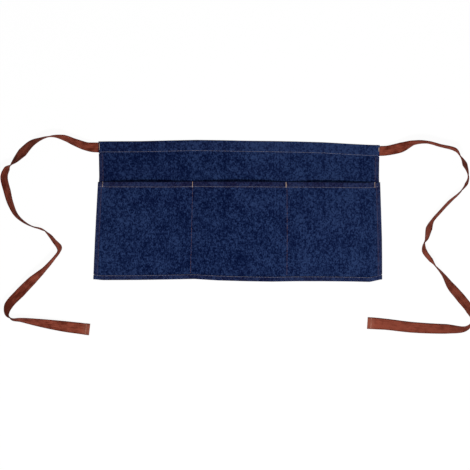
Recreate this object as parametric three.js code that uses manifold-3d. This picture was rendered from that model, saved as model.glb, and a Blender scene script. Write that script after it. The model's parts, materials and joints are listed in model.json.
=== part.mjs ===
// A denim waist apron with three pockets and two tie tapes, lying open on its back.
// Millimetres. +X runs along the waist, +Y from the hem to the waist, +Z up from the floor.
// The origin is on the floor, under the middle of the back panel.
import * as THREE from 'three';
import { mergeVertices } from 'three/addons/utils/BufferGeometryUtils.js';
import Module from 'manifold-3d';

const { clamp, degToRad, lerp, smoothstep } = THREE.MathUtils;

// Cloth
const cloth = 1.0; // one layer of denim
const hemThickness = 2.4; // three layers turned and pressed
const clearance = 0.3; // between layers that touch
const hemStep = 1.5; // over this width a turned hem falls to one layer
const settleRun = 16; // over this length cloth comes down from a fold to the floor
const wellPast = 1.0; // cloth starts to come down this far past the fold

// Body
const waistWidth = 591;
const hemWidth = 606;
const bodyHeight = 295;
const waistShift = 3; // the waist lies this far to the right of the hem
const sideHemWidth = 9.5;
const waistbandDepth = 24;
const seamAllowance = 11; // the back panel's top edge lies this far up inside the waistband
const bottomHemDepth = 9.5;

// Pockets
const pocketDrop = 86.5; // from the waist down to the mouths
const mouthHemDepth = 12;
const pocketOverhang = 2; // the pocket panel is this much wider on each side
const mouthGape = 10; // how far a mouth stands open at its middle
const archFullness = 0.65; // under 1 makes the arch of an open mouth flatter on top

// Ties
const tieLength = 820;
const tieWidth = 25;
const tieThickness = 1.2;
const tieRootWidth = 21; // where it is tucked and sewn in
const tieRootDrop = 13; // from the waist down to the middle of its root
const tieTuck = 50; // over this length from the root it opens out to its full width
const tieSeat = 14; // the length sewn inside the waistband

// How finely the cloth is divided
const columnsPerPocket = 9;
const rowsPerPanel = 8;
const settleSteps = 3;
const foldSteps = 5;
const stepsPerTieRow = 3;

// Rises of the two long edges and of the pocket mouths, as shares of the body's height. Cloth
// between the waistband and the bottom hem rises with the mouths, the more the nearer it lies.
const EDGE_WAVES = [
  { across: 0.0, waist: -0.003, mouth: 0.003, hem: 0.01 },
  { across: 0.03, waist: -0.002, mouth: 0.002, hem: 0.004 },
  { across: 0.15, waist: -0.001, mouth: 0.0, hem: 0.005 },
  { across: 0.25, waist: 0.004, mouth: -0.005, hem: 0.008 },
  { across: 0.35, waist: 0.008, mouth: -0.005, hem: 0.012 },
  { across: 0.43, waist: 0.006, mouth: -0.003, hem: 0.002 },
  { across: 0.53, waist: 0.002, mouth: 0.002, hem: -0.004 },
  { across: 0.62, waist: 0.0, mouth: 0.003, hem: -0.007 },
  { across: 0.7, waist: -0.003, mouth: 0.003, hem: -0.004 },
  { across: 0.8, waist: -0.009, mouth: 0.006, hem: -0.004 },
  { across: 0.9, waist: -0.021, mouth: 0.012, hem: -0.006 },
  { across: 0.96, waist: -0.027, mouth: 0.017, hem: -0.009 },
  { across: 1.0, waist: -0.029, mouth: 0.02, hem: 0.009 },
];

// How far each side has spread from the waist's width to the hem's, at shares of the way down.
const SIDE_FLARE = [
  { down: 0.0, left: 0.15, right: 0.32 },
  { down: 0.12, left: 0.06, right: 0.09 },
  { down: 0.26, left: 0.0, right: 0.0 },
  { down: 0.4, left: 0.22, right: 0.29 },
  { down: 0.55, left: 0.44, right: 0.61 },
  { down: 0.7, left: 0.65, right: 0.92 },
  { down: 0.84, left: 0.82, right: 1.0 },
  { down: 1.0, left: 1.0, right: 1.0 },
];

// The pockets, and how far across the body the seam on the right of each one lies.
const POCKETS = [
  { name: 'left', seam: 0.335 },
  { name: 'middle', seam: 0.671 },
  { name: 'right', seam: 1.0 },
];

// How open each pocket stands, at shares of its depth, as a share of the gape at a mouth.
const POCKET_GAPE = [
  { down: 0.0, left: 0.95, middle: 1.0, right: 0.9 },
  { down: 0.15, left: 1.0, middle: 1.0, right: 0.95 },
  { down: 0.45, left: 0.85, middle: 0.8, right: 0.8 },
  { down: 0.75, left: 0.5, middle: 0.55, right: 0.45 },
  { down: 1.0, left: 0.0, middle: 0.0, right: 0.0 },
];

// The ties' routes from the sides of the waistband, as shares of a tie's length: outwards, and
// down from the root. Roll is the tape's turn about its own length in degrees, 0 with one face
// up, 90 on its edge and 180 with the other face up.
const TIE_LEFT = [
  { out: 0.0, down: 0.0, roll: 0 },
  { out: 0.028, down: -0.002, roll: 40 },
  { out: 0.06, down: -0.013, roll: 54 },
  { out: 0.089, down: -0.025, roll: 63 },
  { out: 0.125, down: -0.029, roll: 90 },
  { out: 0.151, down: -0.021, roll: 106 },
  { out: 0.173, down: -0.01, roll: 125 },
  { out: 0.196, down: 0.013, roll: 141 },
  { out: 0.217, down: 0.036, roll: 113 },
  { out: 0.228, down: 0.046, roll: 90 },
  { out: 0.235, down: 0.054, roll: 64 },
  { out: 0.243, down: 0.075, roll: 55 },
  { out: 0.235, down: 0.113, roll: 56 },
  { out: 0.226, down: 0.145, roll: 63 },
  { out: 0.21, down: 0.176, roll: 74 },
  { out: 0.174, down: 0.203, roll: 90 },
  { out: 0.146, down: 0.211, roll: 98 },
  { out: 0.125, down: 0.227, roll: 77 },
  { out: 0.113, down: 0.242, roll: 72 },
  { out: 0.101, down: 0.257, roll: 64 },
  { out: 0.102, down: 0.268, roll: 78 },
  { out: 0.1135, down: 0.284, roll: 78 },
  { out: 0.139, down: 0.313, roll: 70 },
  { out: 0.1715, down: 0.343, roll: 46 },
  { out: 0.201, down: 0.373, roll: 39 },
  { out: 0.232, down: 0.408, roll: 47 },
  { out: 0.235, down: 0.431, roll: 76 },
  { out: 0.224, down: 0.442, roll: 100 },
  { out: 0.2, down: 0.444, roll: 110 },
  { out: 0.148, down: 0.452, roll: 133 },
  { out: 0.086, down: 0.461, roll: 156 },
  { out: 0.0235, down: 0.4685, roll: 168 },
];
const TIE_RIGHT = [
  { out: 0.0, down: 0.0, roll: 0 },
  { out: 0.019, down: -0.001, roll: 24 },
  { out: 0.055, down: -0.009, roll: 34 },
  { out: 0.088, down: -0.021, roll: 69 },
  { out: 0.122, down: -0.0225, roll: 79 },
  { out: 0.157, down: -0.0135, roll: 78 },
  { out: 0.195, down: -0.003, roll: 75 },
  { out: 0.207, down: 0.011, roll: 90 },
  { out: 0.219, down: 0.034, roll: 117 },
  { out: 0.229, down: 0.066, roll: 90 },
  { out: 0.223, down: 0.085, roll: 78 },
  { out: 0.2095, down: 0.1045, roll: 94 },
  { out: 0.1795, down: 0.131, roll: 105 },
  { out: 0.1525, down: 0.16, roll: 105 },
  { out: 0.136, down: 0.1795, roll: 106 },
  { out: 0.127, down: 0.2, roll: 125 },
  { out: 0.121, down: 0.225, roll: 109 },
  { out: 0.114, down: 0.243, roll: 80 },
  { out: 0.1155, down: 0.258, roll: 67 },
  { out: 0.132, down: 0.281, roll: 72 },
  { out: 0.143, down: 0.294, roll: 90 },
  { out: 0.165, down: 0.321, roll: 108 },
  { out: 0.18, down: 0.344, roll: 128 },
  { out: 0.187, down: 0.353, roll: 135 },
  { out: 0.211, down: 0.381, roll: 141 },
  { out: 0.233, down: 0.411, roll: 135 },
  { out: 0.238, down: 0.44, roll: 90 },
  { out: 0.222, down: 0.457, roll: 69 },
  { out: 0.171, down: 0.458, roll: 38 },
  { out: 0.084, down: 0.454, roll: 27 },
  { out: 0.014, down: 0.446, roll: 22 },
  { out: -0.031, down: 0.443, roll: 0 },
];

// Values that follow from the sizes
const layerLift = cloth + clearance; // one layer and the gap over it
const waistbandHeight = 2 * layerLift + Math.max(cloth, tieThickness);
const bottomHemHeight = 3 * layerLift + cloth;
const hemLine = bodyHeight - bottomHemDepth;
const settledFrom = waistbandDepth + wellPast + settleRun; // the back panel is down on the floor
const settledTo = hemLine - wellPast - settleRun; // and rises to the hem again
const rawBottom = bodyHeight - bottomHemHeight / 2; // where the panels end inside the bottom hem

// The value of one column of a table at a place between its rows.
function follow(table, key, column, at) {
  const next = table.findIndex((row) => row[key] > at);
  const upper = next < 0 ? table.length - 1 : Math.max(next, 1);
  const from = table[upper - 1];
  const to = table[upper];
  const share = clamp((at - from[key]) / (to[key] - from[key]), 0, 1);
  return lerp(from[column], to[column], share);
}

// A place on the body, from its share across it and its distance below the waist.
function onBody(across, below) {
  const down = below / bodyHeight;
  const left = lerp(waistShift - waistWidth / 2, -hemWidth / 2, follow(SIDE_FLARE, 'down', 'left', down));
  const right = lerp(waistShift + waistWidth / 2, hemWidth / 2, follow(SIDE_FLARE, 'down', 'right', down));
  const waist = bodyHeight * (follow(EDGE_WAVES, 'across', 'waist', across) + 1 / 2);
  const hem = bodyHeight * (follow(EDGE_WAVES, 'across', 'hem', across) - 1 / 2);
  const nearMouth = smoothstep(below, waistbandDepth, pocketDrop) - smoothstep(below, pocketDrop, hemLine);
  const rise = bodyHeight * follow(EDGE_WAVES, 'across', 'mouth', across) * nearMouth;
  return new THREE.Vector2(lerp(left, right, across), lerp(waist, hem, down) + rise);
}

// Evenly spaced numbers from one end to the other, both included.
function spaced(from, to, steps) {
  return Array.from({ length: steps + 1 }, (_, step) => lerp(from, to, step / steps));
}

// A closed wall of cloth. The grid's points are given by place(i, j, face), with face 1 on its
// right side and face 0 on its wrong side, and its four edges are closed. Both faces are split
// along the same diagonals, so that a twisted wall keeps its thickness.
function clothWall(alongCount, acrossCount, place) {
  const positions = [];
  const triangles = [];
  const vertex = (i, j, face) => (i * acrossCount + j) * 2 + face;
  const quad = (a, b, c, d) => triangles.push(a, b, c, a, c, d);
  for (let i = 0; i < alongCount; i++) {
    for (let j = 0; j < acrossCount; j++) {
      positions.push(...place(i, j, 0), ...place(i, j, 1));
    }
  }
  const lastI = alongCount - 1;
  const lastJ = acrossCount - 1;
  for (let i = 0; i < lastI; i++) {
    for (let j = 0; j < lastJ; j++) {
      quad(vertex(i, j, 1), vertex(i, j + 1, 1), vertex(i + 1, j + 1, 1), vertex(i + 1, j, 1));
      quad(vertex(i, j, 0), vertex(i + 1, j, 0), vertex(i + 1, j + 1, 0), vertex(i, j + 1, 0));
    }
    quad(vertex(i, 0, 0), vertex(i, 0, 1), vertex(i + 1, 0, 1), vertex(i + 1, 0, 0));
    quad(vertex(i + 1, lastJ, 0), vertex(i + 1, lastJ, 1), vertex(i, lastJ, 1), vertex(i, lastJ, 0));
  }
  for (let j = 0; j < lastJ; j++) {
    quad(vertex(0, j, 0), vertex(0, j + 1, 0), vertex(0, j + 1, 1), vertex(0, j, 1));
    quad(vertex(lastI, j, 1), vertex(lastI, j + 1, 1), vertex(lastI, j + 1, 0), vertex(lastI, j, 0));
  }
  const geometry = new THREE.BufferGeometry();
  geometry.setAttribute('position', new THREE.Float32BufferAttribute(positions, 3));
  geometry.setIndex(triangles);
  geometry.computeVertexNormals();
  return geometry;
}

const wasm = await Module();
wasm.setup();

function toSolid(geometry) {
  const bare = geometry.clone();
  bare.deleteAttribute('normal');
  bare.deleteAttribute('uv');
  const merged = mergeVertices(bare);
  return new wasm.Manifold(
    new wasm.Mesh({
      numProp: 3,
      vertProperties: merged.attributes.position.array,
      triVerts: new Uint32Array(merged.index.array),
    }),
  );
}

// A geometry with boxes cut out of it.
function cutBy(geometry, boxes) {
  let solid = toSolid(geometry);
  for (const box of boxes) solid = solid.subtract(toSolid(box));
  const mesh = solid.getMesh();
  const cut = new THREE.BufferGeometry();
  cut.setAttribute('position', new THREE.BufferAttribute(mesh.vertProperties, 3));
  cut.setIndex(new THREE.BufferAttribute(mesh.triVerts, 1));
  cut.computeVertexNormals();
  return cut;
}

// Heights of the lying cloth

// 1 where the panels lie free, 0 inside the waistband and the bottom hem.
function outOfFolds(below, run) {
  const past = Math.min(below - waistbandDepth, hemLine - below);
  return smoothstep(past, wellPast, wellPast + run);
}

// The extra layers of a side hem.
function sideHemExtra(across, below, overhang) {
  const fromSide = Math.min(across, 1 - across) * hemWidth + overhang;
  const turned = 1 - smoothstep(fromSide, sideHemWidth, sideHemWidth + hemStep);
  return (hemThickness - cloth) * turned * outOfFolds(below, hemStep);
}

function panelUnderside(below) {
  return layerLift * (1 - outOfFolds(below, settleRun));
}

function panelTop(across, below) {
  return panelUnderside(below) + cloth + sideHemExtra(across, below, 0);
}

// The seams that bound the pockets: the side hems' and the ones between the pockets.
const sideSeam = sideHemWidth / hemWidth;
const seamShares = [0, ...POCKETS.map(({ seam }) => seam)];
const pocketSeams = seamShares.map((share) => clamp(share, sideSeam, 1 - sideSeam));

// How far the pocket panel stands off the back panel, between its seams.
function pocketGape(across, below) {
  const pocket = pocketSeams.findIndex((seam, index) => index > 0 && across < seam) - 1;
  if (pocket < 0 || across <= pocketSeams[0]) return 0;
  const share = (across - pocketSeams[pocket]) / (pocketSeams[pocket + 1] - pocketSeams[pocket]);
  const down = (below - pocketDrop) / (hemLine - pocketDrop);
  const arch = Math.sin(Math.PI * share) ** archFullness;
  return mouthGape * arch * follow(POCKET_GAPE, 'down', POCKETS[pocket].name, down);
}

function pocketUnderside(across, below) {
  return panelTop(across, below) + clearance + pocketGape(across, below);
}

function pocketTop(across, below) {
  const fromMouth = below - pocketDrop;
  const turned = 1 - smoothstep(fromMouth, mouthHemDepth, mouthHemDepth + hemStep);
  const mouthExtra = (hemThickness - cloth) * turned;
  const sideExtra = sideHemExtra(across, below, pocketOverhang);
  return pocketUnderside(across, below) + cloth + Math.max(mouthExtra, sideExtra);
}

// Columns across the body, from side to side, with a line at each seam and hem.
function bodyColumns(overhang) {
  const inner = sideSeam + hemStep / hemWidth;
  const side = [0, sideSeam, inner].map((share) => share - overhang / hemWidth);
  const ends = pocketSeams.slice(1);
  const overPockets = ends.flatMap((to, pocket) => spaced(pocketSeams[pocket], to, columnsPerPocket));
  const between = overPockets.filter((share) => share > inner && share < 1 - inner);
  return [...side, ...new Set(between), ...side.map((share) => 1 - share).reverse()];
}

// A flat-lying panel between an underside and a top.
function lyingPanel(columns, rows, underside, top) {
  return clothWall(columns.length, rows.length, (i, j, face) => {
    const spot = onBody(columns[i], rows[j]);
    const height = face === 1 ? top(columns[i], rows[j]) : underside(columns[i], rows[j]);
    return [spot.x, spot.y, height];
  });
}

// A strip folded in half over an edge. Its section runs along one leg, round the fold and back
// along the other; place(across, inwards) gives the spot at a distance in from the edge.
function foldedStrip(columns, depth, height, place) {
  const middle = height / 2;
  const legEnd = foldSteps + 2; // the fold's points lie between the two legs' ends
  return clothWall(columns.length, legEnd + 1, (i, j, face) => {
    const radius = face === 1 ? middle : middle - cloth;
    const turn = (clamp((j - 1) / foldSteps, 0, 1) - 1 / 2) * Math.PI;
    const onLeg = j === 0 || j === legEnd;
    const inwards = onLeg ? depth : middle - radius * Math.cos(turn);
    const spot = place(columns[i], inwards);
    return [spot.x, spot.y, middle + radius * Math.sin(turn)];
  });
}

// Back panel
function backPanel() {
  const rows = [
    waistbandDepth - seamAllowance,
    waistbandDepth,
    waistbandDepth + wellPast,
    waistbandDepth + wellPast + hemStep,
    ...spaced(waistbandDepth + wellPast + 2 * hemStep, settledFrom, settleSteps),
    ...spaced(settledFrom, settledTo, rowsPerPanel).slice(1),
    hemLine - wellPast - settleRun / 2,
    hemLine - wellPast - hemStep,
    hemLine - wellPast,
    rawBottom,
  ];
  const panel = lyingPanel(bodyColumns(0), rows, (across, below) => panelUnderside(below), panelTop);
  const room = tieRootWidth + 2 * clearance;
  const corner = new THREE.BoxGeometry(2 * (tieSeat + clearance), room, 2 * waistbandHeight);
  const corners = [0, 1].map((side) => {
    const root = onBody(side, tieRootDrop);
    return corner.clone().translate(root.x, root.y, 0);
  });
  return cutBy(panel, corners);
}

// Waistband
function waistband() {
  return foldedStrip(bodyColumns(0), waistbandDepth, waistbandHeight, onBody);
}

// Pocket panel
function pocketPanel() {
  const rows = [
    pocketDrop,
    pocketDrop + mouthHemDepth,
    ...spaced(pocketDrop + mouthHemDepth + hemStep, settledTo, rowsPerPanel),
    hemLine - wellPast - settleRun / 2,
    hemLine - wellPast - hemStep,
    hemLine - wellPast,
    rawBottom,
  ];
  return lyingPanel(bodyColumns(pocketOverhang), rows, pocketUnderside, pocketTop);
}

// Bottom hem
function bottomHem() {
  const columns = bodyColumns(pocketOverhang).reverse();
  return foldedStrip(columns, bottomHemDepth, bottomHemHeight, (across, inwards) =>
    onBody(across, bodyHeight - inwards),
  );
}

// Ties

// One tie, lying with its lower edge on the floor. side is -1 for the left and 1 for the right.
function tie(route, side) {
  const root = onBody((side + 1) / 2, tieRootDrop);
  const rows = [{ out: -tieSeat / tieLength, down: 0, roll: 0 }, ...route];
  const turns = rows.length - 1;
  const path = new THREE.CatmullRomCurve3(
    rows.map(({ out, down }) => new THREE.Vector3(root.x + side * out * tieLength, root.y - down * tieLength, 0)),
    false,
    'centripetal',
  );
  const rootLift = (waistbandHeight - tieThickness) / 2;
  let fromRoot = -tieSeat;
  let previous = path.getPoint(0);
  const stations = spaced(0, turns, turns * stepsPerTieRow).map((at) => {
    const row = Math.min(Math.floor(at), turns - 1);
    const roll = degToRad(lerp(rows[row].roll, rows[row + 1].roll, at - row));
    const spot = path.getPoint(at / turns);
    const heading = path.getTangent(at / turns);
    fromRoot += spot.distanceTo(previous);
    previous = spot.clone();
    const halfWidth = lerp(tieRootWidth, tieWidth, smoothstep(fromRoot, 0, tieTuck)) / 2;
    spot.z = rootLift * (1 - smoothstep(fromRoot, 0, settleRun));
    spot.z += halfWidth * Math.abs(Math.sin(roll)) + (tieThickness / 2) * Math.abs(Math.cos(roll));
    const level = new THREE.Vector3(heading.y, -heading.x, 0).multiplyScalar(Math.cos(roll));
    const across = level.add(new THREE.Vector3(0, 0, -side * Math.sin(roll)));
    const normal = new THREE.Vector3().crossVectors(across, heading);
    return { spot, across: across.multiplyScalar(halfWidth), normal };
  });
  return clothWall(stations.length, 2, (i, j, face) => {
    const { spot, across, normal } = stations[i];
    const point = spot.clone().addScaledVector(across, 2 * j - 1);
    point.addScaledVector(normal, (face - 1 / 2) * tieThickness);
    return point.toArray();
  });
}

// The assembled apron
const denim = { color: 0x1a2950, roughness: 0.9, metalness: 0 };
const foldedDenim = { color: 0x22305a, roughness: 0.88, metalness: 0 };
const rustTape = { color: 0x74362b, roughness: 0.85, metalness: 0 };

const pieces = [
  { name: 'back_panel', geometry: backPanel(), finish: denim },
  { name: 'waistband', geometry: waistband(), finish: foldedDenim },
  { name: 'pocket_panel', geometry: pocketPanel(), finish: denim },
  { name: 'bottom_hem', geometry: bottomHem(), finish: foldedDenim },
  { name: 'tie_left', geometry: tie(TIE_LEFT, -1), finish: rustTape },
  { name: 'tie_right', geometry: tie(TIE_RIGHT, 1), finish: rustTape },
];

const apron = new THREE.Group();
apron.name = 'waist_apron';
for (const { name, geometry, finish } of pieces) {
  const mesh = new THREE.Mesh(geometry, new THREE.MeshStandardMaterial(finish));
  mesh.name = name;
  apron.add(mesh);
}

export default apron;
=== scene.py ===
# %% [markdown]
# # A denim waist apron, laid open on the floor
#
# The apron is a denim panel with three pockets on its front, a folded band along its waist, a
# folded strip along its bottom edge, and two woven tapes that tie it on. It lies on its back.
#
# Cloth could be simulated, but an apron that was smoothed out by hand lies almost flat, and a
# simulation of it mostly adds noise. So each piece is made here as a sewing room makes it: cut
# flat, marked, and then laid along its folds. The cutting is one grid operator, and the laying
# is one function for each piece that says where a spot of the flat cloth comes to lie.

# %% Load the fixed frame
import json
import math

import bmesh
import bpy
from mathutils import Matrix, Vector, noise

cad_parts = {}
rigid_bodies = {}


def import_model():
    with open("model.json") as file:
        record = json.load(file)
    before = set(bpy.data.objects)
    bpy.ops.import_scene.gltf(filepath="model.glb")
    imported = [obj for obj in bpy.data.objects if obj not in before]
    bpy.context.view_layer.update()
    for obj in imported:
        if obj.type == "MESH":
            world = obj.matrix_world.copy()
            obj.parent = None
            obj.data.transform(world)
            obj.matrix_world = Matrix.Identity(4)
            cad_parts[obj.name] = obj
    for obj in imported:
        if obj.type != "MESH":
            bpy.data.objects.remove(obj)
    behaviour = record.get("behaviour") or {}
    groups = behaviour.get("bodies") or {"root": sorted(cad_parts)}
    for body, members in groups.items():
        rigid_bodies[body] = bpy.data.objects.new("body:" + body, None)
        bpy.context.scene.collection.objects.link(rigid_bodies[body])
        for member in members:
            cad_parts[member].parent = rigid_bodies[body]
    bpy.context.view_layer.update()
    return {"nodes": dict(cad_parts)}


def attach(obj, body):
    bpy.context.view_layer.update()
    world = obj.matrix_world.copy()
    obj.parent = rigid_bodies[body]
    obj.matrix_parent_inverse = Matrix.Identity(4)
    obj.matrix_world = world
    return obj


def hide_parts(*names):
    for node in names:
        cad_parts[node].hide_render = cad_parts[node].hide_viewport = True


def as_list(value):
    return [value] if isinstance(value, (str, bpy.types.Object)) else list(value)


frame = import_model()
print("nodes of the frame:", sorted(frame["nodes"]))

# %% [markdown]
# ## Sizes
#
# All lengths are in metres. They are the real sizes of the sewn apron, so the pieces made here
# land on the solids of the frame without any fitting.

# %% Sizes of the sewn apron
WAIST_WIDTH = 0.591
HEM_WIDTH = 0.606
BODY_HEIGHT = 0.295
WAIST_SHIFT = 0.003  # the waist lies this far to the right of the hem
SIDE_HEM = 0.0095
WAISTBAND_DEPTH = 0.024
SEAM_ALLOWANCE = 0.011  # how far the back panel reaches up inside the waistband
BOTTOM_STRIP = 0.0095
BAND_TUCK = 0.008  # how much of the waistband's front is tucked in
STRIP_TUCK = 0.0055  # the same for the bottom strip
HEM_LINE = BODY_HEIGHT - BOTTOM_STRIP
POCKET_DROP = 0.0865  # from the waist down to the mouths of the pockets
MOUTH_HEM = 0.012
OVERHANG = 0.002  # the pocket panel is this much wider on each side
MOUTH_GAPE = 0.0085  # how far a mouth stands open at its middle
ARCH_FULLNESS = 0.65  # under 1 makes the arch of an open mouth flatter on top

# %% Thicknesses
DENIM = 0.00075  # one layer of cloth
LAYER = 0.0008  # from one layer of a pressed fold to the next
STACK = 0.0013  # from the underside of one piece to the underside of the piece sewn on it
BOTTOM_LIFT = 0.0004  # the middle of the lowest layer, above what it lies on
SINGLE_LIFT = 0.0005  # the same where there is only one layer
THREE_LAYERS = BOTTOM_LIFT + 2 * LAYER - SINGLE_LIFT  # from a single layer up to a hem's top
BAND_HEIGHT = 0.0033  # from the rear layer of the waistband up to its front
STRIP_HEIGHT = 0.0043  # the same for the bottom strip, which holds one piece more
HEM_FALL = 0.003  # over this width a hem of three layers falls to one
HEM_SETTLE = SIDE_HEM / 6  # over this length a side hem thins out at a fold
MARK_BLUR = 0.001  # over this width the mark of a hem fades out
SETTLE_RUN = 0.016  # over this length cloth comes down from a fold to the floor
FOLD_MARGIN = 0.0003  # cloth starts to come down this far past a fold

# %% [markdown]
# ## Where the body lies
#
# The long edges and the pocket mouths of the real apron wander a little, and its sides lean
# outwards below the mouths. Two short tables hold that. Each row is a share of the way across or
# down, and the values between two rows are blended.

# %% Tables of the wandering edges
EDGE_WAVES = [
    {"across": 0.0, "waist": -0.003, "mouth": 0.003, "hem": 0.01},
    {"across": 0.03, "waist": -0.002, "mouth": 0.002, "hem": 0.004},
    {"across": 0.15, "waist": -0.001, "mouth": 0.0, "hem": 0.005},
    {"across": 0.25, "waist": 0.004, "mouth": -0.005, "hem": 0.008},
    {"across": 0.35, "waist": 0.008, "mouth": -0.005, "hem": 0.012},
    {"across": 0.43, "waist": 0.006, "mouth": -0.003, "hem": 0.002},
    {"across": 0.53, "waist": 0.002, "mouth": 0.002, "hem": -0.004},
    {"across": 0.62, "waist": 0.0, "mouth": 0.003, "hem": -0.007},
    {"across": 0.7, "waist": -0.003, "mouth": 0.003, "hem": -0.004},
    {"across": 0.8, "waist": -0.009, "mouth": 0.006, "hem": -0.004},
    {"across": 0.9, "waist": -0.021, "mouth": 0.012, "hem": -0.006},
    {"across": 0.96, "waist": -0.027, "mouth": 0.017, "hem": -0.009},
    {"across": 1.0, "waist": -0.029, "mouth": 0.02, "hem": 0.009},
]
SIDE_FLARE = [
    {"down": 0.0, "left": 0.15, "right": 0.32},
    {"down": 0.12, "left": 0.06, "right": 0.09},
    {"down": 0.26, "left": 0.0, "right": 0.0},
    {"down": 0.4, "left": 0.22, "right": 0.29},
    {"down": 0.55, "left": 0.44, "right": 0.61},
    {"down": 0.7, "left": 0.65, "right": 0.92},
    {"down": 0.84, "left": 0.82, "right": 1.0},
    {"down": 1.0, "left": 1.0, "right": 1.0},
]


# %% Helpers for blending
def lerp(start, end, share):
    return start + (end - start) * share


def clamp(value, low=0.0, high=1.0):
    return max(low, min(high, value))


def smoothstep(value, low, high):
    """0 up to low, 1 from high on, and an even S between them."""
    share = clamp((value - low) / (high - low))
    return share * share * (3 - 2 * share)


def follow(table, key, column, at):
    """One column of a table, at a place between its rows."""
    upper = next((n for n, row in enumerate(table) if row[key] > at), len(table) - 1)
    start, end = table[max(upper, 1) - 1], table[max(upper, 1)]
    share = clamp((at - start[key]) / (end[key] - start[key]))
    return lerp(start[column], end[column], share)


def spaced(start, end, gap):
    """Evenly spaced numbers from start to end, both included, about gap apart."""
    steps = max(1, round(abs(end - start) / gap))
    return [lerp(start, end, step / steps) for step in range(steps + 1)]


# %% A place on the body
def on_body(across, below):
    """The spot on the floor for a share across the body and a distance below its waist."""
    down = below / BODY_HEIGHT
    left = lerp(WAIST_SHIFT - WAIST_WIDTH / 2, -HEM_WIDTH / 2, follow(SIDE_FLARE, "down", "left", down))
    right = lerp(WAIST_SHIFT + WAIST_WIDTH / 2, HEM_WIDTH / 2, follow(SIDE_FLARE, "down", "right", down))
    waist = BODY_HEIGHT * (follow(EDGE_WAVES, "across", "waist", across) + 1 / 2)
    hem = BODY_HEIGHT * (follow(EDGE_WAVES, "across", "hem", across) - 1 / 2)
    near_mouth = smoothstep(below, WAISTBAND_DEPTH, POCKET_DROP) - smoothstep(below, POCKET_DROP, HEM_LINE)
    rise = BODY_HEIGHT * follow(EDGE_WAVES, "across", "mouth", across) * near_mouth
    return Vector((lerp(left, right, across), lerp(waist, hem, down) + rise, 0))


for corner in ((0, 0), (1, 0), (0, BODY_HEIGHT), (1, BODY_HEIGHT)):
    print("corner of the body:", tuple(round(value, 4) for value in on_body(*corner)))

# %% [markdown]
# ## Heights of the lying cloth
#
# Cloth lies on what is under it. The back panel lies on the floor, and climbs one layer where
# the waistband and the bottom strip fold round it. The pocket panel lies on the back panel. It
# is sewn down along the sides and at two seams, and between those it stands open like a row of
# low arches. The arch is a half sine made fuller, so that its crown is broad and its feet steep.

# %% The heights of the panels
POCKETS = [
    {"name": "left", "seam": 0.335},
    {"name": "middle", "seam": 0.671},
    {"name": "right", "seam": 1.0},
]
POCKET_GAPE = [
    {"down": 0.0, "left": 0.95, "middle": 1.0, "right": 0.9},
    {"down": 0.15, "left": 1.0, "middle": 1.0, "right": 0.95},
    {"down": 0.45, "left": 0.85, "middle": 0.8, "right": 0.8},
    {"down": 0.75, "left": 0.5, "middle": 0.55, "right": 0.45},
    {"down": 1.0, "left": 0.0, "middle": 0.0, "right": 0.0},
]
SIDE_SEAM = SIDE_HEM / HEM_WIDTH
pocket_seams = [SIDE_SEAM, *(clamp(row["seam"], SIDE_SEAM, 1 - SIDE_SEAM) for row in POCKETS)]


def out_of_folds(below, run):
    """1 where the panels lie free, 0 inside the waistband and the bottom strip."""
    past = min(below - WAISTBAND_DEPTH, HEM_LINE - below)
    return smoothstep(past, FOLD_MARGIN, FOLD_MARGIN + run)


def inside_folds(below):
    return out_of_folds(below, HEM_SETTLE) < 0.99


def back_underside(below):
    return STACK * (1 - out_of_folds(below, SETTLE_RUN))


def hem_extra(from_side, below):
    """How far the two extra layers of a side hem lift the layer on top of them."""
    turned = 1 - smoothstep(from_side, SIDE_HEM, SIDE_HEM + HEM_FALL)
    return THREE_LAYERS * turned * out_of_folds(below, HEM_SETTLE)


def from_side(across):
    return min(across, 1 - across) * HEM_WIDTH


def pocket_gape(across, below):
    """How far the pocket panel stands off the back panel, between its seams."""
    if not pocket_seams[0] < across < pocket_seams[-1]:
        return 0.0
    pocket = next(n for n, seam in enumerate(pocket_seams) if across < seam) - 1
    share = (across - pocket_seams[pocket]) / (pocket_seams[pocket + 1] - pocket_seams[pocket])
    down = (below - POCKET_DROP) / (HEM_LINE - POCKET_DROP)
    arch = math.sin(math.pi * share) ** ARCH_FULLNESS
    return MOUTH_GAPE * arch * follow(POCKET_GAPE, "down", POCKETS[pocket]["name"], down)


def pocket_underside(across, below):
    under = back_underside(below) + hem_extra(from_side(across), below)
    return under + STACK + pocket_gape(across, below)


print("crown of the middle pocket's mouth:", round(pocket_underside(0.5, POCKET_DROP), 4))

# %% [markdown]
# A cloth that was pressed and then handled isn't quite flat. Soft noise, which only depends on
# the spot on the floor, lifts all layers there alike, so no layer is pushed through another.

# %% Gentle unevenness of the cloth
RIPPLE = 0.0009
RIPPLE_SIZE = 0.045


def ripple(spot):
    wave = noise.noise(Vector((spot.x / RIPPLE_SIZE, spot.y / RIPPLE_SIZE, 1.7)))
    fine = noise.noise(Vector((spot.x / RIPPLE_SIZE * 3, spot.y / RIPPLE_SIZE * 3, 5.2)))
    return RIPPLE * clamp(0.5 + 0.5 * wave + 0.2 * fine)


# %% [markdown]
# ## Sections of folded cloth
#
# A hem, the waistband and the bottom strip are all the same thing: cloth that runs straight and
# turns. So a fold is written down the way a tailor would say it, as runs and turns, and one
# helper walks along it. It answers how far in from the finished edge a spot of the cloth lies,
# and how high. A second helper gives the lines where the flat grid has to be able to bend.


# %% Walk along a folded section
TURN_STEPS = 6  # lines in each turn of a fold


def turn_radius(layers):
    """The radius of a turn that brings the cloth back a number of layers away."""
    return layers * LAYER / 2


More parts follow.
